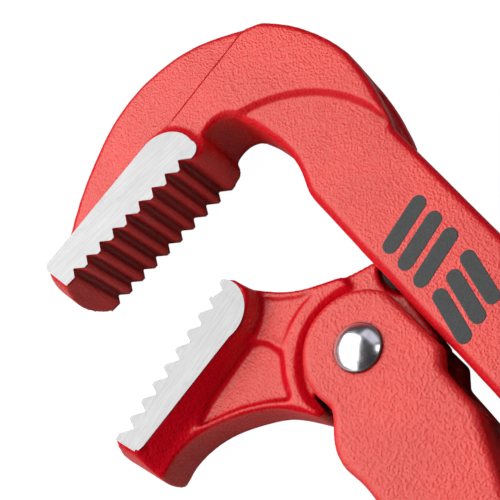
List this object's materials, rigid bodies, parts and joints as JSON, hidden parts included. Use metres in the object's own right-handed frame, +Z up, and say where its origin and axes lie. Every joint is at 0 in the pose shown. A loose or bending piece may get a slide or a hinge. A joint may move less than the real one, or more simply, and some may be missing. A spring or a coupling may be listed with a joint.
{
  "type": "pipe wrench",
  "caption": "Two-leg Swedish-pattern pipe wrench with toothed 90 degree jaws, riveted fork leg, sliding threaded shank and knurled adjusting nut.",
  "frame": {"origin": "centre of the bounding box's underside, the tool lying flat with its jaws as drawn", "axes": "+X along the main leg towards the hook jaw, +Y towards the second leg, +Z up out of the flat side"},
  "size_m": [0.4241, 0.1252, 0.024],
  "materials": {
    "red_paint": "semi-gloss paint over a forged surface",
    "steel": "machined and lightly oiled",
    "chrome": "polished"
  },
  "bodies": {
    "main": {"main_leg": "red_paint"},
    "shank": {"threaded_shank": "steel", "shank_pin": "steel"},
    "nut": {"adjusting_nut": "steel"},
    "jaw": {"lower_jaw": "red_paint"},
    "second_leg": {"lower_leg": "red_paint", "jaw_rivet": "chrome"}
  },
  "joints": [
    {"name": "shank_slide", "type": "slide", "parent": "main", "child": "shank", "axis": [1, 0, 0], "range_m": [-0.022, 0.022]},
    {"name": "nut_turn", "type": "hinge", "parent": "main", "child": "nut", "pos_m": [0.0404, -0.0478, 0.012], "axis": [1, 0, 0], "range_deg": [-2650, 2650]},
    {"name": "jaw_hinge", "type": "hinge", "parent": "shank", "child": "jaw", "pos_m": [0.1246, -0.0397, 0.012], "axis": [0, 0, 1], "range_deg": [-12, 1]},
    {"name": "leg_hinge", "type": "hinge", "parent": "jaw", "child": "second_leg", "pos_m": [0.1154, -0.0218, 0.012], "axis": [0, 0, 1], "range_deg": [-2, 23]}
  ],
  "couplings": [
    {"joint": "nut_turn", "follows": "shank_slide", "rad_per_m": 2094.4},
    {"joint": "leg_hinge", "follows": "jaw_hinge", "ratio": -1.9}
  ]
}
